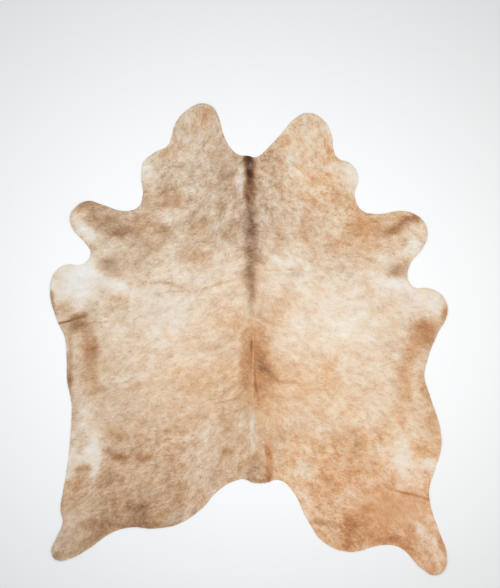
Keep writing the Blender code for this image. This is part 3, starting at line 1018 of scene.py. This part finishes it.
def paint(mesh, roots, locks, lights):
    """Store what the coat material reads: a root for each group of len(lights) corners."""
    x, y = roots[:, 0], roots[:, 1]
    shade, warmth = shade_and_warmth(x, y)
    colours = (hair_colour(shade, warmth)[:, None] * np.array(lights)[:, None]).reshape(-1, 3)
    count = len(lights)
    store(mesh, "coat", "FLOAT_COLOR", np.column_stack([colours, np.ones(len(colours))]))
    store(mesh, "root", "FLOAT_VECTOR", np.repeat(roots, count, axis=0))
    store(mesh, "lock", "FLOAT", np.repeat(locks, count))
    store(mesh, "brindle", "FLOAT", np.repeat(hair_mix(shade, x, y), count))
    store(mesh, "wrinkle_shade", "FLOAT", np.repeat(wrinkle_shade(x, y), count))


paint(hide_mesh, places, np.full(len(places), MIDDLE_LOCK), (ROOT_LIGHT,))
hide_mesh.shade_smooth()
hide = link_object("cowhide", hide_mesh)
suede_side = leather_material(
    "suede underside", SUEDE, SUEDE_CLOUD, cloud_size=0.16, nap_size=0.0016, nap_height=0.0005
)
cut_edge = leather_material(
    "cut leather edge", CUT_FIBRES, CUT_SHADOW, cloud_size=0.02, nap_size=0.0008, nap_height=0.0003
)
for finish in (coat_material("hair side", bump=True), suede_side, cut_edge):
    hide.data.materials.append(finish)
skin = hide.modifiers.new("skin", "SOLIDIFY")
skin.thickness = SHEET
skin.offset = 1.0
skin.use_even_offset = True
skin.material_offset = 1
skin.material_offset_rim = 2
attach(hide, "root")
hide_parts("hide")
print("skin:", len(hide_mesh.polygons), "cells")

# %% [markdown]
# ## The fur
#
# Cow hair is short and lies flat. One narrow blade stands for a lock of hairs. Every
# blade starts on the skin, leans along the lie of the hair and ends a few millimetres
# up, over the roots of the next ones. A particle system could grow them too, but
# blades in one mesh export as they are. The coat is parted into four areas, so
# that no piece grows too large.

# %% Blades and areas
BLADE_LENGTH = (0.007, 0.014)
BLADE_WIDTH = (0.0010, 0.0019)
BLADE_RISE = (0.0010, 0.0030)
ROOT_DEPTH = 0.0003
CORNER_LIGHT = (0.92, 0.92, 1.08)  # root corners darker as painted shade under the blades above; tip lighter, as real hair tips are
STRAY = 0.20  # spread of the blades about the lie of the hair, in radians
ROLL = 0.00022  # spread of the height of one root corner over the other
EDGE_BAND = 0.022  # nearer the edge than this, blades are short and lie down
EDGE_LENGTH = 0.45  # share of the length and rise left at the very edge
EDGE_RISE = 0.35
MAP_CELL = 0.006
NECK_FROM = 0.49
HIND_TO = -0.37
AREAS = {  # name: seed, and which places belong to it
    "fur_neck": (41, lambda x, y: y > NECK_FROM),
    "fur_left": (42, lambda x, y: (y <= NECK_FROM) & (y > HIND_TO) & (x < 0.0)),
    "fur_right": (43, lambda x, y: (y <= NECK_FROM) & (y > HIND_TO) & (x >= 0.0)),
    "fur_hind": (44, lambda x, y: y <= HIND_TO),
}


def sheet_triangles(mesh):
    """Corner numbers and flat areas of the sheet's triangles."""
    mesh.calc_loop_triangles()
    corners = np.zeros(len(mesh.loop_triangles) * 3, np.int32)
    mesh.loop_triangles.foreach_get("vertices", corners)
    corners = corners.reshape(-1, 3)
    first, second, third = (places[corners[:, k], :2] for k in range(3))
    one, two = second - first, third - first
    return corners, 0.5 * abs(one[:, 0] * two[:, 1] - one[:, 1] * two[:, 0])


def scatter(corners, areas, count, dice):
    """Places spread evenly over these triangles: their x and y."""
    total = np.cumsum(areas)
    marks = (np.arange(count) + dice.random(count)) / count * total[-1]
    chosen = corners[np.minimum(np.searchsorted(total, marks), len(areas) - 1)]
    a, b = dice.random(count), dice.random(count)
    folded = a + b > 1.0
    a[folded], b[folded] = 1.0 - a[folded], 1.0 - b[folded]
    first, second, third = (places[chosen[:, k], :2] for k in range(3))
    found = first + a[:, None] * (second - first) + b[:, None] * (third - first)
    return found[:, 0], found[:, 1]


# %% The band along the edge
def edge_share(x, y):
    """0 at the trimmed edge, 1 from the edge band inwards."""
    return band_map[
        np.clip(((y - map_low[1]) / MAP_CELL).astype(int), 0, band_map.shape[0] - 1),
        np.clip(((x - map_low[0]) / MAP_CELL).astype(int), 0, band_map.shape[1] - 1),
    ]


map_low = edge_line.min(axis=0) - EDGE_BAND
map_size = ((edge_line.max(axis=0) + EDGE_BAND - map_low) / MAP_CELL).astype(int) + 1
band_map = np.ones((map_size[1], map_size[0]))
reach_cells = int(EDGE_BAND / MAP_CELL) + 1
offsets = np.arange(-reach_cells, reach_cells + 1)
off_x, off_y = (part.ravel() for part in np.meshgrid(offsets, offsets))
for x, y in edge_line:
    column, line = int((x - map_low[0]) / MAP_CELL), int((y - map_low[1]) / MAP_CELL)
    columns = np.clip(column + off_x, 0, map_size[0] - 1)
    lines = np.clip(line + off_y, 0, map_size[1] - 1)
    away = np.hypot(
        map_low[0] + (columns + 0.5) * MAP_CELL - x, map_low[1] + (lines + 0.5) * MAP_CELL - y
    )
    band_map[lines, columns] = np.minimum(band_map[lines, columns], away / EDGE_BAND)
print("band along the edge:", int((band_map < 1.0).sum()), "map cells")


# %% One piece of fur
def fur_piece(name, seed, corners, areas, count):
    """One area of fur: a mesh of loose blades, three corners each."""
    dice = np.random.default_rng(seed)
    x, y = scatter(corners, areas, count, dice)
    inward = edge_share(x, y)
    step_x, step_y = lie_of_hair(x, y)
    stray = dice.normal(0.0, STRAY, count)
    step_x, step_y = (
        step_x * np.cos(stray) - step_y * np.sin(stray),
        step_x * np.sin(stray) + step_y * np.cos(stray),
    )
    length = dice.uniform(*BLADE_LENGTH, count) * (EDGE_LENGTH + (1.0 - EDGE_LENGTH) * inward)
    half = dice.uniform(*BLADE_WIDTH, count) / 2
    rise = dice.uniform(*BLADE_RISE, count) * (EDGE_RISE + (1.0 - EDGE_RISE) * inward)
    roll = dice.normal(0.0, ROLL, count)
    tip_x, tip_y = x + step_x * length, y + step_y * length
    base = height(x, y) + SHEET - ROOT_DEPTH
    tip = height(tip_x, tip_y) + SHEET + rise

    corner_points = np.empty((count, 3, 3))
    corner_points[:, 0] = np.stack([x - step_y * half, y + step_x * half, base + roll], axis=-1)
    corner_points[:, 1] = np.stack([x + step_y * half, y - step_x * half, base - roll], axis=-1)
    corner_points[:, 2] = np.stack([tip_x, tip_y, tip], axis=-1)
    flat = corner_points.reshape(-1, 3)

    mesh = bpy.data.meshes.new(name)
    mesh.vertices.add(count * 3)
    mesh.vertices.foreach_set("co", flat.astype(np.float32).ravel())
    mesh.loops.add(count * 3)
    mesh.loops.foreach_set("vertex_index", np.arange(count * 3, dtype=np.int32))
    mesh.polygons.add(count)
    mesh.polygons.foreach_set("loop_start", np.arange(0, count * 3, 3, dtype=np.int32))
    mesh.update(calc_edges=True)

    paint(mesh, np.stack([x, y, base], axis=-1), dice.random(count), CORNER_LIGHT)
    low = flat[:, :2].min(axis=0)
    span = np.ptp(flat[:, :2], axis=0).max()
    chart = mesh.uv_layers.new(name="OFBake")
    chart.data.foreach_set("uv", ((flat[:, :2] - low) / span).astype(np.float32).ravel())
    return link_object(name, mesh)


# %% The fur
triangle_corners, triangle_areas = sheet_triangles(hide_mesh)
centres = places[triangle_corners, :2].mean(axis=1)
chosen = {name: test(centres[:, 0], centres[:, 1]) for name, (_, test) in AREAS.items()}
area_sizes = {name: triangle_areas[mask].sum() for name, mask in chosen.items()}
density = BLADES_PER_PIECE / max(area_sizes.values())
fur_finish = coat_material("lying hair", bump=False)
for name, (seed, _) in AREAS.items():
    mask = chosen[name]
    count = int(density * area_sizes[name])
    piece = fur_piece(name, seed, triangle_corners[mask], triangle_areas[mask], count)
    piece.data.materials.append(fur_finish)
    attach(piece, "root")
    print(name, "-", count, "blades on", round(area_sizes[name], 3), "m2")
